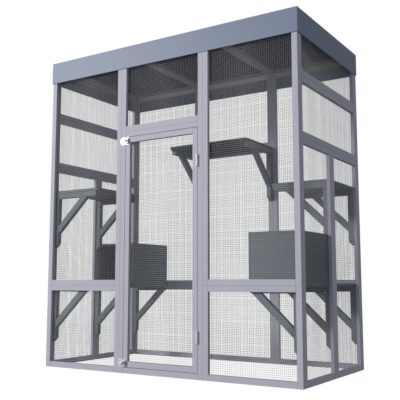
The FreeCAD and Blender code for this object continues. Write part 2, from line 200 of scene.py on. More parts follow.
class CatioColours(bpy.types.PropertyGroup):
    """The paints and metals of the catio, as linear colours."""
    timber: colour("Timber paint", "Pale lilac grey paint of walls and door", (0.500, 0.487, 0.560))
    fascia: colour("Fascia paint", "Blue grey paint of the boards round the roof", (0.188, 0.224, 0.325))
    slate: colour("Slate paint", "Dark paint of shelves, brackets and houses", (0.158, 0.187, 0.207))
    # painted shade: the middle shelf has the same slate paint, drawn darker to stand for the shade it lies
    # in
    shaded_slate: colour("Shaded slate", "Darker paint of the middle shelf", (0.028, 0.031, 0.037))
    roof_board: colour("Roof board", "Dark covering of the roof boards", (0.036, 0.047, 0.078))
    roof_felt: colour("Roof felt", "Mineral felt on top of the roof", (0.085, 0.096, 0.118))
    roof_timber: colour("Roof timber", "Stain of the timbers under the roof", (0.365, 0.345, 0.345))
    pale_pine: colour("Pale pine", "Grey weathered top rails of the back", (0.900, 0.885, 0.850))
    bare_pine: colour("Bare pine", "Unpainted top rail of the back's right bay", (0.620, 0.590, 0.430))
    # painted light: one coating drawn in two colours, its own colour darkened on the upright wires as
    # painted shade and lightened on the cross wires as a painted highlight, for how each catches the light
    wire: colour("Wire", "Dull coating of the upright wires", (0.290, 0.300, 0.310))
    cross_wire: colour("Cross wire", "Brighter coating of the cross wires", (0.990, 0.990, 0.990))
    zinc: colour("Zinc", "Bright plating of bolt plates and keepers", (0.720, 0.740, 0.720))
    soft_zinc: colour("Soft zinc", "Dull bright plating of hinges and screws", (0.860, 0.865, 0.860))
    steel: colour("Dark steel", "Dark plating of the sliding bolts", (0.300, 0.305, 0.315))
    # painted shade: a darkened copy of the steel, drawn on bars that stand for the shade in the screws'
    # cross recesses
    recess: colour("Recess", "Shaded steel in the recesses of the screws", (0.150, 0.1525, 0.1575))


# Node helpers

def add_node(tree, kind, place, inputs=None, **settings):
    """A shader node with its settings and the values of its unlinked inputs."""
    made = tree.nodes.new(kind)
    made.location = place
    for key, value in settings.items():
        setattr(made, key, value)
    for key, value in (inputs or {}).items():
        made.inputs[key].default_value = value
    return made


def join(tree, *links):
    """Links between nodes, each as (from node, its output, to node, its input)."""
    for source, output, target, entry in links:
        tree.links.new(source.outputs[output], target.inputs[entry])


def fill_grain(tree, entry, out):
    """Streaks and pores of planed softwood under paint, run along the first coordinate."""
    stretch = add_node(tree, "ShaderNodeCombineXYZ", (-700, -150), {"Z": 1.0})
    scaled = add_node(tree, "ShaderNodeVectorMath", (-500, 0), operation="MULTIPLY")
    wide = add_node(tree, "ShaderNodeTexNoise", (-300, 150),
                    {"Scale": 1.0, "Detail": 4.0, "Roughness": 0.6, "Distortion": 0.6})
    fine = add_node(tree, "ShaderNodeTexNoise", (-300, -150),
                    {"Scale": 4.0, "Detail": 3.0, "Roughness": 0.7})
    streak = add_node(tree, "ShaderNodeMapRange", (-60, 150), {"From Min": 0.3, "From Max": 0.7})
    height = add_node(tree, "ShaderNodeMath", (-60, -150), operation="ADD")
    half = add_node(tree, "ShaderNodeMath", (150, -150), {1: 0.5}, operation="MULTIPLY")
    join(tree,
         (entry, "Along", stretch, "X"), (entry, "Across", stretch, "Y"),
         (entry, "Vector", scaled, 0), (stretch, "Vector", scaled, 1),
         (scaled, "Vector", wide, "Vector"), (scaled, "Vector", fine, "Vector"),
         (wide, "Fac", streak, "Value"), (streak, "Result", out, "Streak"),
         (wide, "Fac", height, 0), (fine, "Fac", height, 1),
         (height, "Value", half, 0), (half, "Value", out, "Height"))


def fill_patches(tree, entry, out):
    """Soft patches where paint, dust or plating is a little uneven."""
    cloud = add_node(tree, "ShaderNodeTexNoise", (-400, 0), {"Detail": 3.0, "Roughness": 0.55})
    mask = add_node(tree, "ShaderNodeMapRange", (-100, 0), interpolation_type="SMOOTHSTEP")
    join(tree,
         (entry, "Vector", cloud, "Vector"), (entry, "Scale", cloud, "Scale"),
         (cloud, "Fac", mask, "Value"), (entry, "Low", mask, "From Min"), (entry, "High", mask, "From Max"),
         (mask, "Result", out, "Mask"))


def fill_arris(tree, entry, out):
    """Where a board's eased edges hold shade and grime."""
    edge = add_node(tree, "ShaderNodeAttribute", (-400, 200), attribute_name=ARRIS)
    uneven = add_node(tree, "ShaderNodeTexNoise", (-400, -50), {"Scale": 14.0, "Detail": 2.0})
    spread = add_node(tree, "ShaderNodeMapRange", (-150, -50), {"To Min": 0.7, "To Max": 1.15})
    mask = add_node(tree, "ShaderNodeMath", (100, 100), operation="MULTIPLY")
    amount = add_node(tree, "ShaderNodeMath", (300, 100), operation="MULTIPLY", use_clamp=True)
    join(tree,
         (entry, "Vector", uneven, "Vector"), (uneven, "Fac", spread, "Value"),
         (edge, "Fac", mask, 0), (spread, "Result", mask, 1),
         (mask, "Value", amount, 0), (entry, "Amount", amount, 1), (amount, "Value", out, "Mask"))


# Shader node groups: their numbers with defaults, their outputs and what fills them
GROUPS = {
    "Planed grain": ({"Along": 2.5, "Across": 140.0}, ("Streak", "Height"), fill_grain),
    "Uneven patches": ({"Scale": 6.0, "Low": 0.35, "High": 0.75}, ("Mask",), fill_patches),
    "Arris shade": ({"Amount": 0.6}, ("Mask",), fill_arris),
}


def group(name):
    """A shader node group, fed with a vector and its numbers, made when it is first asked for."""
    tree = bpy.data.node_groups.get(name)
    if tree:
        return tree
    numbers, outputs, fill = GROUPS[name]
    tree = bpy.data.node_groups.new(name, "ShaderNodeTree")
    tree.interface.new_socket(name="Vector", in_out="INPUT", socket_type="NodeSocketVector")
    for key, value in numbers.items():
        socket = tree.interface.new_socket(name=key, in_out="INPUT", socket_type="NodeSocketFloat")
        socket.default_value = value
    for key in outputs:
        tree.interface.new_socket(name=key, in_out="OUTPUT", socket_type="NodeSocketFloat")
    fill(tree, add_node(tree, "NodeGroupInput", (-900, 0)), add_node(tree, "NodeGroupOutput", (700, 0)))
    return tree


def add_group(tree, place, name, inputs=None):
    """A node that stands for a shader node group."""
    return add_node(tree, "ShaderNodeGroup", place, inputs, node_tree=group(name))


def tinted(shade, share):
    """A colour made lighter or darker by a share, with full alpha."""
    return tuple(min(1.0, max(0.0, channel * share)) for channel in shade) + (1.0,)


def mix_colour(tree, place, factor, under, over):
    """Two colours mixed by a mask; each is a socket or a plain colour."""
    made = add_node(tree, "ShaderNodeMix", place, data_type="RGBA")
    tree.links.new(factor, made.inputs["Factor"])
    # colour sockets share their names with those for numbers, so they go by their places
    for key, value in ((6, under), (7, over)):
        if isinstance(value, bpy.types.NodeSocket):
            tree.links.new(value, made.inputs[key])
        else:
            made.inputs[key].default_value = value
    return made.outputs[2]


def fresh_material(name):
    """A material with an empty Principled shader."""
    material = bpy.data.materials.new(name)
    material.use_nodes = True
    tree = material.node_tree
    shader = tree.nodes["Principled BSDF"]
    shader.location = (600, 0)
    return material, tree, shader


def add_relief(tree, shader, source, output, smoothest, roughest, bump, height):
    """Roughness and a raised surface that follow a node's output."""
    rough = add_node(tree, "ShaderNodeMapRange", (200, -150), {"To Min": smoothest, "To Max": roughest})
    relief = add_node(tree, "ShaderNodeBump", (350, -350), {"Strength": bump, "Distance": height})
    join(tree,
         (source, output, rough, "Value"), (rough, "Result", shader, "Roughness"),
         (source, output, relief, "Height"), (relief, "Normal", shader, "Normal"))


def painted_wood(name, shade, roughness, contrast, seam=0.55, bump=0.35, specular=0.4):
    """Paint over planed boards: streaks along the grain, uneven patches, shaded edges."""
    material, tree, shader = fresh_material(name)
    place = add_node(tree, "ShaderNodeUVMap", (-1000, 0), uv_map=GRAIN_UV)
    grain = add_group(tree, (-750, 150), "Planed grain")
    patches = add_group(tree, (-750, -100), "Uneven patches", {"Scale": 5.0})
    edges = add_group(tree, (-750, -350), "Arris shade", {"Amount": seam})
    join(tree, *((place, "UV", made, "Vector") for made in (grain, patches, edges)))
    streaked = mix_colour(tree, (-450, 200), grain.outputs["Streak"],
                          tinted(shade, 1.0 - contrast), tinted(shade, 1.0 + contrast))
    patchy = mix_colour(tree, (-200, 150), patches.outputs["Mask"],
                        streaked, tinted(shade, 1.0 + contrast * PATCH_STRENGTH))
    edged = mix_colour(tree, (50, 100), edges.outputs["Mask"], patchy, tinted(shade, EDGE_SHADE))
    tree.links.new(edged, shader.inputs["Base Color"])
    add_relief(tree, shader, grain, "Height",
               roughness - SMOOTHER_WOOD, roughness + ROUGHER, bump, WOOD_RELIEF)
    shader.inputs["Specular IOR Level"].default_value = specular
    return material


def plated_metal(name, shade, roughness, metallic, spread=0.1, scale=60.0, bump=0.15, level_shade=None):
    """Plated or coated metal with an uneven finish, and an optional painted highlight in another colour on
    sides that face up or down.
    """
    material, tree, shader = fresh_material(name)
    place = add_node(tree, "ShaderNodeTexCoord", (-900, 0))
    patches = add_group(tree, (-650, 100), "Uneven patches", {"Scale": scale})
    join(tree, (place, "Object", patches, "Vector"))
    dull, bright = tinted(shade, 1.0 - spread), tinted(shade, 1.0 + spread)
    # painted highlight: sides that face up or down, as on the cross wires, take the other colour for how
    # they catch the light
    if level_shade:
        surface = add_node(tree, "ShaderNodeNewGeometry", (-1100, 400))
        slopes = add_node(tree, "ShaderNodeSeparateXYZ", (-900, 400))
        level = add_node(tree, "ShaderNodeMath", (-700, 400), operation="ABSOLUTE")
        join(tree, (surface, "Normal", slopes, "Vector"), (slopes, "Z", level, 0))
        mask = level.outputs["Value"]
        dull = mix_colour(tree, (-500, 500), mask, dull, tinted(level_shade, 1.0 - spread))
        bright = mix_colour(tree, (-500, 300), mask, bright, tinted(level_shade, 1.0 + spread))
    uneven = mix_colour(tree, (-350, 150), patches.outputs["Mask"], dull, bright)
    tree.links.new(uneven, shader.inputs["Base Color"])
    add_relief(tree, shader, patches, "Mask",
               roughness - SMOOTHER_METAL, roughness + ROUGHER, bump, METAL_RELIEF)
    shader.inputs["Metallic"].default_value = metallic
    return material


# The name and the settings of the material, for each colour that has a finish of its own
WOODS = {
    "timber": ("Lilac grey timber paint", dict(roughness=0.58, contrast=0.035, seam=0.42, specular=0.35)),
    "fascia": ("Blue grey fascia paint",
               dict(roughness=0.48, contrast=0.012, seam=0.25, bump=0.12, specular=0.45)),
    "slate": ("Slate board paint", dict(roughness=0.5, contrast=0.07, seam=0.35)),
    # the slate paint with painted shade, for the middle shelf
    "shaded_slate": ("Shaded slate paint", dict(roughness=0.6, contrast=0.07, seam=0.35, specular=0.15)),
    "roof_board": ("Slate roof board", dict(roughness=0.7, contrast=0.08, specular=0.2)),
    "roof_timber": ("Grey roof timber stain", dict(roughness=0.6, contrast=0.14)),
    "pale_pine": ("Pale pine", dict(roughness=0.6, contrast=0.1)),
    "bare_pine": ("Bare pine", dict(roughness=0.6, contrast=0.1)),
}
METALS = {  # and the roof's felt, which is uneven in the same way
    "roof_felt": ("Mineral roof felt",
                  dict(roughness=0.85, metallic=0.0, spread=0.3, scale=420.0, bump=0.8)),
    # the wire coating carries painted shade on its uprights and a painted highlight on its cross wires
    "wire": ("Dull wire coating", dict(roughness=0.42, metallic=0.45, scale=300.0)),
    "zinc": ("Bright zinc plate", dict(roughness=0.42, metallic=0.6)),
    "soft_zinc": ("Soft zinc plate", dict(roughness=0.45, metallic=0.2)),
    "steel": ("Dark plated steel", dict(roughness=0.4, metallic=0.8)),
    "recess": ("Shaded steel recess", dict(roughness=0.6, metallic=0.4)),
}


def finish(key, **more):
    """The material of a finish, made when it is first asked for."""
    make, finishes = (painted_wood, WOODS) if key in WOODS else (plated_metal, METALS)
    name, settings = finishes[key]
    shade = getattr(bpy.context.scene.catio_colours, key)
    return bpy.data.materials.get(name) or make(name, shade, **settings, **more)


# Mesh helpers

def place_of(along, across, through, corner):
    """A place whose x, y and z axes run along, across and through a board from its corner."""
    place = Matrix((along, across, through)).transposed().to_4x4()
    place.translation = corner
    return place


def facing(outward, centre):
    """A place whose z axis points outward."""
    place = outward.to_track_quat("Z", "Y").to_matrix().to_4x4()
    place.translation = centre
    return place


def arc(radius, rise, start, end, steps):
    """Points on an arc about (0, rise), from one angle to another."""
    turns = (start + (end - start) * i / steps for i in range(steps + 1))
    return [(radius * math.cos(turn), rise + radius * math.sin(turn)) for turn in turns]


def thinnest(size):
    """The axis along which something is thinnest."""
    return min(range(3), key=lambda i: size[i])


class Shaping:
    """Collects planed boards, metal plates and turned parts into one mesh for a node."""

    def __init__(self, node, name):
        self.node, self.name = node, name
        self.low, self.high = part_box(node)
        self.material_index = 0
        self.random = random.Random(name)
        self.bm = bmesh.new()
        self.uv = self.bm.loops.layers.uv.new(GRAIN_UV)
        self.arris = self.bm.faces.layers.float.new(ARRIS)

    def prism(self, outline, depth, place, edge):
        """A board of any outline; x runs along its grain, y across it and z through it."""
        low = [self.bm.verts.new((x, y, 0.0)) for x, y in outline]
        high = [self.bm.verts.new((x, y, depth)) for x, y in outline]
        ends = (self.bm.faces.new(low[::-1]), self.bm.faces.new(high))
        eased = [ring_edge for end in ends for ring_edge in end.edges]
        for i, corner in enumerate(outline):
            j = (i + 1) % len(outline)
            self.bm.faces.new((low[i], low[j], high[j], high[i]))
            before = Vector(corner) - Vector(outline[i - 1])
            after = Vector(outline[j]) - Vector(corner)
            if before.angle(after) > EASED_TURN:
                eased.append(self.bm.edges.get((low[i], high[i])))
        made = bmesh.ops.bevel(self.bm, geom=eased, offset=edge, segments=2,
                               profile=0.5, affect="EDGES", clamp_overlap=True)
        rounded = set(made["faces"])
        island, pending = {made["verts"][0]}, [made["verts"][0]]
        while pending:
            for link in pending.pop().link_edges:
                for vert in link.verts:
                    if vert not in island:
                        island.add(vert)
                        pending.append(vert)
        shift_along, shift_across = (self.random.uniform(0, GRAIN_SHIFT) for _ in range(2))
        for face in {f for v in island for f in v.link_faces}:
            face.smooth = face in rounded
            face[self.arris] = 1.0 if face in rounded else 0.0
            face.material_index = self.material_index
            for loop in face.loops:
                x, y, z = loop.vert.co
                loop[self.uv].uv = (x + shift_along, y + z + shift_across)
        bmesh.ops.transform(self.bm, matrix=place, verts=list(island))

    def board(self, low, high, edge):
        """A square board between two corners, its grain along its longest side."""
        low, high = Vector(low), Vector(high)
        size = high - low
        order = sorted(range(3), key=lambda i: -size[i])
        long, wide, deep = (size[i] for i in order)
        axes = Matrix.Identity(3)
        self.prism([(0, 0), (long, 0), (long, wide), (0, wide)], deep,
                   place_of(*(axes[i] for i in order), low), edge)

    def timber_frame(self, sizes, middle_rails=(), top_index=0):
        """Two full stiles with rails butted between them; the top rail may have another material."""
        low, high, width = self.low, self.high, sizes.timber_width
        thin = thinnest(high - low)
        across, up = (0, 1) if thin == 2 else (1 - thin, 2)
        left, right, bottom, top = low[across], high[across], low[up], high[up]
        timbers = [(left, left + width, bottom, top), (right - width, right, bottom, top)]
        timbers += [(left + width, right - width, *rail)
                    for rail in ((bottom, bottom + width), *middle_rails, (top - width, top))]
        for start, end, base, crown in timbers:
            corner_low, corner_high = low.copy(), high.copy()
            corner_low[across], corner_high[across] = start, end
            corner_low[up], corner_high[up] = base, crown
            self.material_index = top_index if base == top - width else 0
            self.board(corner_low, corner_high, sizes.timber_edge)
        self.material_index = 0

    def turned(self, profile, place, sides=20):
        """A turned part from (radius, height) pairs, bottom to top, about the z of its place."""
        rings = []
        for radius, height in profile:
            turns = (2 * math.pi * i / sides for i in range(sides if radius > 0 else 1))
            points = ((radius * math.cos(turn), radius * math.sin(turn), height) for turn in turns)
            rings.append([self.bm.verts.new(place @ Vector(point)) for point in points])
        for pair in zip(rings, rings[1:]):
            for i in range(sides):
                below, above = ([ring[k % len(ring)] for k in (i, (i + 1) % sides)] for ring in pair)
                face = self.bm.faces.new(list(dict.fromkeys(below + above[::-1])))
                face.smooth = True
                face.material_index = self.material_index

    def screw_head(self, centre, outward, radius, height):
        """A domed screw head whose cross recess is two dark bars, painted shade for the hollow; the bars
        take the second material.
        """
        place = facing(outward, centre)
        self.turned([(radius * out, height * up) for out, up in HEAD_PROFILE], place)
        bar = (Matrix.Translation((0, 0, height * BAR_RISE))
               @ Matrix.Diagonal((radius * BAR_LENGTH, radius * BAR_WIDTH, height * BAR_HEIGHT, 1.0)))
        for turn in (0.0, math.pi / 2):
            made = bmesh.ops.create_cube(
                self.bm, size=1.0, matrix=place @ Matrix.Rotation(turn, 4, "Z") @ bar)
            for face in {f for v in made["verts"] for f in v.link_faces}:
                face.material_index = 1

    def done(self, slot, *finishes):
        """The finished piece; the first finish is the usual one, and a missing one is left out."""
        bmesh.ops.recalc_face_normals(self.bm, faces=self.bm.faces)
        mesh = bpy.data.meshes.new(self.name)
        self.bm.to_mesh(mesh)
        self.bm.free()
        add_piece(self.name, mesh, self.node, slot, *(finish(key) for key in finishes if key))


def new_object(name, data):
    """An object in the scene."""
    made = bpy.data.objects.new(name, data)
    bpy.context.scene.collection.objects.link(made)
    return made


def add_piece(name, mesh, node, slot, *materials):
    """An object that rides with a node's body and stands for the node."""
    for material in materials:
        mesh.materials.append(material)
    piece = new_object(name, mesh)
    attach(piece, frame["nodes"][node]["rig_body"])
    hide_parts(node)


def solid_boxes(node):
    """The lowest and highest corners of each separate solid of a node."""
    shape = bmesh.new()
    shape.from_mesh(frame["nodes"][node].data)
    bmesh.ops.remove_doubles(shape, verts=shape.verts, dist=0.000001)
    left, boxes = set(shape.verts), []
    while left:
        reached = [left.pop()]
        for vert in reached:
            for link in vert.link_edges:
                other = link.other_vert(vert)
                if other in left:
                    left.remove(other)
                    reached.append(other)
        columns = list(zip(*(vert.co for vert in reached)))
        boxes.append(tuple(Vector([pick(column) for column in columns]) for pick in (min, max)))
    shape.free()
    return sorted(boxes, key=lambda corners: tuple(round(c, 5) for c in corners[0]))


def add_rod(verts, faces, start, end, radius, sides=6):
    """A straight round wire with closed ends."""
    axis = (end - start).normalized()
    side = axis.orthogonal().normalized()
    up = axis.cross(side)
    base = len(verts)
    for point in (start, end):
        for i in range(sides):
            turn = 2 * math.pi * i / sides
            verts.append(point + (side * math.cos(turn) + up * math.sin(turn)) * radius)
    near, far = range(base, base + sides), range(base + sides, base + 2 * sides)
    faces += [(near[i - 1], near[i], far[i], far[i - 1]) for i in range(sides)]
    faces += [tuple(reversed(near)), tuple(far)]


def add_net(verts, faces, low, high, inward, sizes):
    """Welded wire on the timbers' inner face, behind a window given by its corners."""
    thin = 0 if inward.x else 1
    across = 1 - thin
    radius, lap = sizes.wire_diameter / 2, sizes.wire_lap
    face = high[thin] if inward[thin] > 0 else low[thin]
    upright_depth = face + inward[thin] * radius * UPRIGHT_STAND_OFF
    cross_depth = upright_depth + inward[thin] * radius * CROSS_STAND_OFF
    for run, other, depth in ((2, across, upright_depth), (across, 2, cross_depth)):
        span = high[other] - low[other]
        count = max(1, round(span / sizes.wire_pitch))
        step = span / count
        for i in range(count + 1):
            start, end = Vector(), Vector()
            start[thin] = end[thin] = depth
            start[other] = end[other] = low[other] + i * step
            start[run], end[run] = low[run] - lap, high[run] + lap
            add_rod(verts, faces, start, end, radius)


def frame_window(node, width):
    """The opening of a framed panel, as its lowest and highest corners."""
    low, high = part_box(node)
    inset = Vector((width, width, width))
    inset[thinnest(high - low)] = 0.0
    return low + inset, high - inset


# Operators, one for each piece or group of like pieces

class CATIO_OT_wall_timbers(bpy.types.Operator):
    """Build the framed panels of the four walls and the surround of the door"""
    bl_idname = "catio.wall_timbers"
    bl_label = "Wall timbers"

    def execute(self, context):
        sizes = context.scene.catio_sizes
        side_frames = [f"{side}_wall_{name}_frame" for side in ("left", "right") for name in SIDE_FRAMES]
        for node in FRONT_FRAMES + side_frames + [f"back_{name}_frame" for name in BACK_FRAMES]:
            boards = Shaping(node, node + "_timbers")
            boards.timber_frame(sizes, top_index=1 if node in TOP_RAILS else 0)
            boards.done("wall_timber", "timber", TOP_RAILS.get(node))
        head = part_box("door_frame")[1].z + sizes.door_gap
        transom = head + sizes.timber_width
        boards = Shaping("door_surround", "door_surround_timbers")
        boards.timber_frame(sizes, ((head, transom), (transom, transom + sizes.transom_rail_width)))
        boards.done("wall_timber", "timber")
        return {"FINISHED"}


class CATIO_OT_door_leaf(bpy.types.Operator):
    """Build the framed leaf of the door"""
    bl_idname = "catio.door_leaf"
    bl_label = "Door leaf"

    def execute(self, context):
        boards = Shaping("door_frame", "door_leaf_timbers")
        boards.timber_frame(context.scene.catio_sizes)
        boards.done("wall_timber", "timber")
        return {"FINISHED"}


class CATIO_OT_wire_nets(bpy.types.Operator):
    """Stretch welded wire over every window of the walls and the door"""
    bl_idname = "catio.wire_nets"
    bl_label = "Wire nets"

    def execute(self, context):
        sizes = context.scene.catio_sizes
        # the cross wires get the colour of their painted highlight
        coat = finish("wire", level_shade=context.scene.catio_colours.cross_wire)
        width, lap = sizes.timber_width, Vector((sizes.wire_lap, 0, sizes.wire_lap))
        nets = {node.replace("_frame", "_mesh"): [(frame_window(node, width), BACK)]
                for node in (*FRONT_FRAMES, "door_frame")}
        low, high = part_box("transom_mesh")
        low, high = low + lap, high - lap
        low.y, high.y = (corner.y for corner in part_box("door_surround"))
        nets["transom_mesh"] = [((low, high), BACK)]
        for side, inward in (("left", RIGHT), ("right", LEFT)):
            nets[f"{side}_wall_mesh"] = [
                (frame_window(f"{side}_wall_{name}_frame", width), inward) for name in SIDE_FRAMES]
        nets["back_wall_mesh"] = [
            (frame_window(f"back_{name}_frame", width), FRONT) for name in BACK_FRAMES]
        for node, windows in nets.items():
            verts, faces = [], []
            for (low, high), inward in windows:
                add_net(verts, faces, low, high, inward, sizes)
            mesh = bpy.data.meshes.new(node + "_wires")
            mesh.from_pydata(verts, [], faces)
            mesh.shade_smooth()
            add_piece(node + "_wires", mesh, node, "mesh_wire", coat)
        return {"FINISHED"}


class CATIO_OT_hinges(bpy.types.Operator):
    """Finish the door's hinges and fit their pins with domed heads"""
    bl_idname = "catio.hinges"
    bl_label = "Hinges"

    def execute(self, context):
        for node in ("door_hinge_leaves", "post_hinge_leaves"):
            leaves = frame["nodes"][node]
            leaves.data.materials.clear()
            leaves.data.materials.append(finish("soft_zinc"))
        pins = Shaping("hinge_pins", "hinge_pins_domed")
        for low, high in solid_boxes("hinge_pins"):
            middle, size = (low + high) / 2, high - low
            radius, top = size.x / 2, size.z
            dome = [(radius * PIN_HEAD * out, PIN_DOME * up) for out, up in PIN_DOME_PROFILE]
            pins.turned([(0, 0), *dome, (radius, PIN_DOME), (radius, top - PIN_DOME),
                         *((out, top - up) for out, up in reversed(dome)), (0, top)],
                        Matrix.Translation((middle.x, middle.y, low.z)))
        pins.done("zinc", "soft_zinc")
        return {"FINISHED"}


def add_bolt(sizes, bolt, radius, level):
    """The rod with a rounded nose, and its knob with a collar."""
    low, middle = bolt.low, bolt.high.y - radius
    run, stem, knob = bolt.high.x - low.x, middle - low.y, sizes.bolt_knob
    bolt.turned([(0, 0), *((radius * share, end) for share, end in ROD_NOSE),
                 *((radius * share, run - end) for share, end in ROD_TAIL), (0, run)],
                Matrix.Translation((low.x, middle, level)) @ Matrix.Rotation(math.pi / 2, 4, "Y"))
    bolt.turned([(0, radius / 2), (knob * KNOB_NECK, radius / 2),
                 *((knob * share, stem - end) for share, end in KNOB_COLLAR), (0, stem)],
                facing(FRONT, (low.x + sizes.bolt_knob_place, middle, level)))


def add_keeper(sizes, keepers, skin, level, reach, room):
    """A plate with a pointed end and a pressed loop; skin is where its outer face lies."""
    left, right, half = keepers.low.x, keepers.high.x, sizes.latch_height / 2
    thick, width, cut = sizes.latch_plate, right - left, sizes.keeper_point
    keepers.prism([(cut, 0), (width, 0), (width, 2 * half), (cut, 2 * half), (0, 2 * half - cut), (0, cut)],
                  thick, place_of(RIGHT, UP, FRONT, (left, skin + thick, level - half)), LATCH_EDGE)
    wall, foot = room + LOOP_WALL, room + LOOP_FOOT
    loop = [(-foot, 0), (-foot, FOOT_RISE), (-wall, FOOT_RISE), *arc(wall, reach, math.pi, 0.0, ARC_STEPS),
            (wall, FOOT_RISE), (foot, FOOT_RISE), (foot, 0), (room, 0),
            *arc(room, reach, 0.0, math.pi, ARC_STEPS), (-room, 0)]
    keepers.prism(loop, sizes.keeper_loop, place_of(UP, FRONT, LEFT, (right - LOOP_INSET, skin, level)),
                  LATCH_EDGE / 2)
    for along, up in KEEPER_SCREW_PLACES:
        keepers.screw_head((left + width * along, skin, level + half * up), FRONT,
                           KEEPER_SCREW, LATCH_SCREW_RISE)


def add_plate(sizes, plates, left, skin, level, reach, room):
    """A plate with a guide at each end and a cover above and below the rod's slot."""
    right, half, body = plates.high.x - GUIDE_INSET, sizes.latch_height / 2, sizes.bolt_body / 2
    cover = skin - plates.low.y
    plates.board((plates.low.x + PLATE_INSET, skin, level - half),
                 (plates.high.x, skin + sizes.latch_plate, level + half), LATCH_EDGE)
    cheek = [(room, 0), *arc(room, reach, 0.0, math.pi / 2, ARC_STEPS // 2),
             (0, cover), (body - GUIDE_CHAMFER, cover), (body, cover - GUIDE_CHAMFER), (body, 0)]
    for x in (left + GUIDE_WIDTH, right):
        for outline in (cheek[::-1], [(-u, v) for u, v in cheek]):
            plates.prism(outline, GUIDE_WIDTH, place_of(UP, FRONT, LEFT, (x, skin, level)), LATCH_EDGE / 2)
    for sign in (1, -1):
        for start, end, base, rise in (
            (body - COVER_SIDE, body, 0.0, cover - COVER_FACE - SIDE_GAP),
            (SLOT_HALF, body - COVER_SIDE - FACE_GAP, cover - COVER_FACE, cover),
        ):
            bottom, top = sorted((level + sign * start, level + sign * end))
            plates.board((left + GUIDE_WIDTH, skin - rise, bottom),
                         (right - GUIDE_WIDTH, skin - base, top), LATCH_EDGE / 2)
        plates.screw_head(((left + right) / 2, skin, level + sign * (half + body) / 2), FRONT,
                          PLATE_SCREW, LATCH_SCREW_RISE)


class CATIO_OT_bolts(bpy.types.Operator):
    """Build the two sliding door bolts, their plates with guides and the keepers on the post"""
    bl_idname = "catio.bolts"
    bl_label = "Bolts and keepers"

    def execute(self, context):
        sizes = context.scene.catio_sizes
        plates = Shaping("bolt_plates", "bolt_plates_pressed")
        keepers = Shaping("bolt_keepers", "bolt_keepers_pressed")
        skin = plates.high.y - sizes.latch_plate
        for node in ("top_bolt", "bottom_bolt"):
            bolt = Shaping(node, node + "_rod")
            low, high = bolt.low, bolt.high
            radius, level = (high.z - low.z) / 2, (low.z + high.z) / 2
            reach, room = skin - (high.y - radius), radius + sizes.bolt_play
            add_bolt(sizes, bolt, radius, level)
            add_keeper(sizes, keepers, skin, level, reach, room)
            add_plate(sizes, plates, low.x, skin, level, reach, room)
            bolt.done("dark_steel", "steel")
        plates.done("zinc", "zinc", "recess")
        keepers.done("zinc", "zinc", "recess")
        return {"FINISHED"}


class CATIO_OT_roof(bpy.types.Operator):
    """Build the roof's framed panels and boards and the fascia round them"""
    bl_idname = "catio.roof"
    bl_label = "Roof and fascia"

    def execute(self, context):
        sizes = context.scene.catio_sizes
        edge, felt = sizes.timber_edge, sizes.felt_thickness
        for bay in ("left", "middle", "right"):
            node = f"roof_{bay}_frame"
            boards = Shaping(node, node + "_timbers")
            boards.timber_frame(sizes)
            boards.done("roof_timber", "roof_timber")
            node = f"roof_{bay}_board"
            boards = Shaping(node, node + "_sheet")
            low, high = boards.low, boards.high
            middle, deck, inset = (low.y + high.y) / 2, high.z - 2 * felt, edge / 2
            boards.board(low, (high.x, high.y, deck), edge)
            boards.material_index = 1
            # two strips of felt, the front one a layer higher where it laps the other
            for y0, y1, top in ((low.y + inset, middle, high.z), (middle, high.y - inset, high.z - felt)):
                boards.board((low.x + inset, y0, deck), (high.x - inset, y1, top), felt * FELT_EDGE)
            boards.done("roof_board", "roof_board", "roof_felt")
        for side in ("front", "back", "left", "right"):
            boards = Shaping(f"{side}_fascia", f"{side}_fascia_trim")
            boards.board(boards.low, boards.high, edge * FASCIA_EDGE)
            boards.done("fascia", "fascia")
        return {"FINISHED"}


def wall_of(shelf):
    """The wall that carries a shelf, and the axis along it."""
    return ("back", 0) if shelf == "middle_shelf" else (shelf.split("_")[1], 1)


def wall_place(side, low, high, along, height):
    """The directions out from a wall and along it, and the point on it where a piece starts."""
    if side == "back":
        return FRONT, RIGHT, Vector((along, high.y, height))
    out, x = (RIGHT, low.x) if side == "left" else (LEFT, high.x)
    return out, BACK, Vector((x, along, height))


class CATIO_OT_shelves(bpy.types.Operator):
    """Build the shelves with the rail under each free edge"""
    bl_idname = "catio.shelves"
    bl_label = "Shelves"

    def execute(self, context):
        sizes = context.scene.catio_sizes
        thick, corner, edge = sizes.shelf_thickness, sizes.shelf_corner, sizes.board_edge
        for node in SHELVES:
            boards = Shaping(node, node + "_boards")
            low, high = boards.low, boards.high
            side, axis = wall_of(node)
            out, run, start = wall_place(side, low, high, low[axis], high.z - thick)
            span, reach = high[axis] - low[axis], high[1 - axis] - low[1 - axis]
            rounding = arc(corner, reach - corner, 0.0, math.pi / 2, SHELF_CORNER_STEPS)
            outline = [(0, 0), (span, 0), *((span - corner + x, y) for x, y in rounding),
                       *((corner - x, y) for x, y in reversed(rounding))]
            boards.prism(outline, thick, place_of(run, out, UP, start), edge)
            a = start + run * corner + out * (reach - sizes.shelf_rail_width)
            b = start + run * (span - corner) + out * reach
            a.z, b.z = low.z, high.z - thick
            boards.board([min(p, q) for p, q in zip(a, b)], [max(p, q) for p, q in zip(a, b)], edge)
            # the middle shelf takes the slate with painted shade
            boards.done("slate_wood", "shaded_slate" if node == "middle_shelf" else "slate")
        return {"FINISHED"}


def bracket_span(side, start, end, thickness):
    """A bracket's extent along its wall, widened evenly at the wall's ends, else towards the joint."""
    extra = thickness - (end - start)
    centre, middle = (start + end) / 2, (cad_low.y + cad_high.y) / 2
    before = 0.0 if side == "back" or centre < middle else 1.0
    if side != "back" and abs(centre - middle) > (cad_high.y - cad_low.y) / 4:
        before = 0.5
    return start - extra * before, end + extra * (1.0 - before)


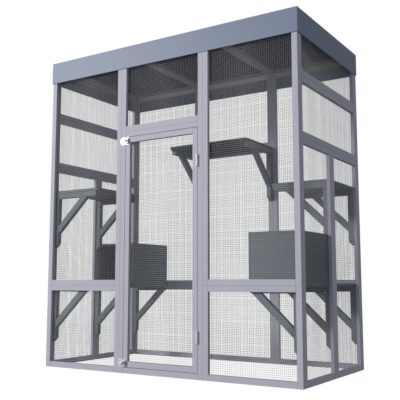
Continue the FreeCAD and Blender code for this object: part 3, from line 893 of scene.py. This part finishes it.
class CATIO_OT_brackets(bpy.types.Operator):
    """Build the wall brackets: a leg, an arm and a slanting brace each"""
    bl_idname = "catio.brackets"
    bl_label = "Shelf brackets"

    def execute(self, context):
        sizes = context.scene.catio_sizes
        width, arm, edge = sizes.bracket_width, sizes.bracket_arm, sizes.board_edge
        cut, brace_drop, brace_reach = sizes.bracket_chamfer, sizes.brace_drop, sizes.brace_reach
        for shelf in SHELVES:
            node = shelf + "_brackets"
            boards = Shaping(node, node + "_timbers")
            low, high = boards.low, boards.high
            side, axis = wall_of(shelf)
            reach, drop = high[1 - axis] - low[1 - axis], high.z - arm - low.z
            run_values = sorted({round(v.co[axis], 5) for v in frame["nodes"][node].data.vertices})
            for solid_run in zip(run_values[::2], run_values[1::2]):
                start_run, end_run = bracket_span(side, *solid_run, sizes.bracket_thickness)
                out, run, start = wall_place(side, low, high, start_run, high.z - arm)
                depth = end_run - start_run
                leg = [(0, 0), (drop, 0), (drop, width - cut), (drop - cut, width), (0, width)]
                boards.prism(leg, depth, place_of(-UP, out, run, start), edge)
                boards.prism([(0, 0), (reach, 0), (reach, arm), (0, arm)], depth,
                             place_of(out, UP, run, start), edge)
                foot = start + out * width - UP * brace_drop
                tip = start + out * brace_reach
                slope = (tip - foot).normalized()
                rise = slope.cross(run).normalized()
                if rise.z < 0:
                    rise = -rise
                brace = (tip - foot).length
                lean = (brace_reach - width) / brace_drop
                outline = [(0, 0), (brace, 0), (brace - width * lean, width), (width / lean, width)]
                boards.prism(outline, depth, place_of(slope, rise, run, foot), edge)
            boards.done("slate_wood", "slate")
        return {"FINISHED"}


class CATIO_OT_cat_houses(bpy.types.Operator):
    """Build the two cat houses, each open at one end"""
    bl_idname = "catio.cat_houses"
    bl_label = "Cat houses"

    def execute(self, context):
        sizes = context.scene.catio_sizes
        board = sizes.house_board
        for node in ("left_cat_house", "right_cat_house"):
            boards = Shaping(node, node + "_boards")
            low, high = boards.low, boards.high
            floor, ceiling = low.z + board, high.z - board
            end = high.y - board if node == "left_cat_house" else low.y
            for a, b in (
                (low, (high.x, high.y, floor)),
                ((low.x, low.y, ceiling), high),
                ((low.x, low.y, floor), (low.x + board, high.y, ceiling)),
                ((high.x - board, low.y, floor), (high.x, high.y, ceiling)),
                ((low.x + board, end, floor), (high.x - board, end + board, ceiling)),
            ):
                boards.board(a, b, sizes.board_edge * HOUSE_EDGE)
            boards.done("slate_wood", "slate")
        return {"FINISHED"}


class CATIO_OT_screws(bpy.types.Operator):
    """Fit domed heads with a cross recess to the screws that show outside"""
    bl_idname = "catio.screws"
    bl_label = "Screw heads"

    def execute(self, context):
        middle = (cad_low + cad_high) / 2
        heads = Shaping("screw_heads", "screw_heads_domed")
        for low, high in solid_boxes("screw_heads"):
            size, centre = high - low, (low + high) / 2
            thin = thinnest(size)
            outward = Vector()
            outward[thin] = 1.0 if centre[thin] > middle[thin] else -1.0
            heads.screw_head(centre - outward * size[thin] / 2, outward, max(size) / 2, size[thin])
        heads.done("zinc", "soft_zinc", "recess")
        return {"FINISHED"}


def white_surface(owner, kind, out_kind, strength):
    """Plain white where the camera sees it, and a faint cool light on everything else."""
    owner.use_nodes = True
    tree = owner.node_tree
    tree.nodes.clear()
    rays = add_node(tree, "ShaderNodeLightPath", (-400, 200))
    cast = add_node(tree, kind, (-400, -100), {"Color": COOL_WHITE, "Strength": strength})
    seen = add_node(tree, kind, (-400, -300), {"Color": WHITE, "Strength": 1.0})
    mixed = add_node(tree, "ShaderNodeMixShader", (-100, 0))
    out = add_node(tree, out_kind, (150, 0))
    join(tree, (rays, "Is Camera Ray", mixed, 0), (cast, 0, mixed, 1), (seen, 0, mixed, 2),
         (mixed, 0, out, "Surface"))


class CATIO_OT_stage(bpy.types.Operator):
    """Set the pale floor, the white surround, the soft light and the camera"""
    bl_idname = "catio.stage"
    bl_label = "Stage"

    def execute(self, context):
        scene = context.scene
        scene.view_settings.view_transform = "Standard"
        floor_mesh = bpy.data.meshes.new("pale_floor")
        corners = ((-1, -1), (1, -1), (1, 1), (-1, 1))
        floor_mesh.from_pydata([(x * FLOOR_REACH, y * FLOOR_REACH, -FLOOR_DROP) for x, y in corners],
                               [], [(0, 1, 2, 3)])
        floor = new_object("pale_floor", floor_mesh)
        material = bpy.data.materials.new("Pale floor")
        white_surface(material, "ShaderNodeEmission", "ShaderNodeOutputMaterial", FLOOR_LIGHT)
        floor_mesh.materials.append(material)
        scene.world = bpy.data.worlds.new("White surround")
        white_surface(scene.world, "ShaderNodeBackground", "ShaderNodeOutputWorld", SURROUND_LIGHT)

        for name, energy, target, towards, distance in LAMPS:
            lamp = bpy.data.lights.new(name, "AREA")
            lamp.shape, lamp.size, lamp.energy = "DISK", LAMP_SIZE, energy
            lamp_object = new_object(name, lamp)
            aim = Vector(target)
            lamp_object.location = aim + Vector(towards).normalized() * distance
            lamp_object.rotation_mode = "QUATERNION"
            lamp_object.rotation_quaternion = (aim - lamp_object.location).to_track_quat("-Z", "Y")

        lens = bpy.data.cameras.new("catio_camera")
        lens.lens, lens.sensor_width = LENS, SENSOR_WIDTH
        lens.clip_start, lens.clip_end = CLIP_START, CLIP_END
        camera = new_object("catio_camera", lens)
        camera.location = CAMERA_PLACE
        camera.rotation_euler = (CAMERA_TILT, 0.0, CAMERA_TURN)
        scene.camera = camera
        return {"FINISHED"}


class CATIO_PT_panel(bpy.types.Panel):
    """Lists the catio's sizes, colours and build steps"""
    bl_idname = "CATIO_PT_panel"
    bl_label = "Timber catio"
    bl_space_type = "VIEW_3D"
    bl_region_type = "UI"
    bl_category = "Catio"

    def draw(self, context):
        layout = self.layout
        for values in (context.scene.catio_sizes, context.scene.catio_colours):
            box = layout.box()
            for key in values.__annotations__:
                box.prop(values, key)
        for operator in OPERATORS:
            layout.operator(operator.bl_idname)


OPERATORS = (
    CATIO_OT_wall_timbers, CATIO_OT_door_leaf, CATIO_OT_wire_nets, CATIO_OT_hinges,
    CATIO_OT_bolts, CATIO_OT_roof, CATIO_OT_shelves, CATIO_OT_brackets,
    CATIO_OT_cat_houses, CATIO_OT_screws, CATIO_OT_stage,
)
CLASSES = (CatioSizes, CatioColours) + OPERATORS + (CATIO_PT_panel,)


def register():
    for cls in CLASSES:
        bpy.utils.register_class(cls)
    bpy.types.Scene.catio_sizes = bpy.props.PointerProperty(type=CatioSizes)
    bpy.types.Scene.catio_colours = bpy.props.PointerProperty(type=CatioColours)


def unregister():
    del bpy.types.Scene.catio_colours
    del bpy.types.Scene.catio_sizes
    for cls in reversed(CLASSES):
        bpy.utils.unregister_class(cls)


def main():
    """Build the catio in order."""
    register()
    bpy.ops.catio.wall_timbers()
    bpy.ops.catio.door_leaf()
    bpy.ops.catio.wire_nets()
    bpy.ops.catio.hinges()
    bpy.ops.catio.bolts()
    bpy.ops.catio.roof()
    bpy.ops.catio.shelves()
    bpy.ops.catio.brackets()
    bpy.ops.catio.cat_houses()
    bpy.ops.catio.screws()
    bpy.ops.catio.stage()


if __name__ == "__main__":
    main()
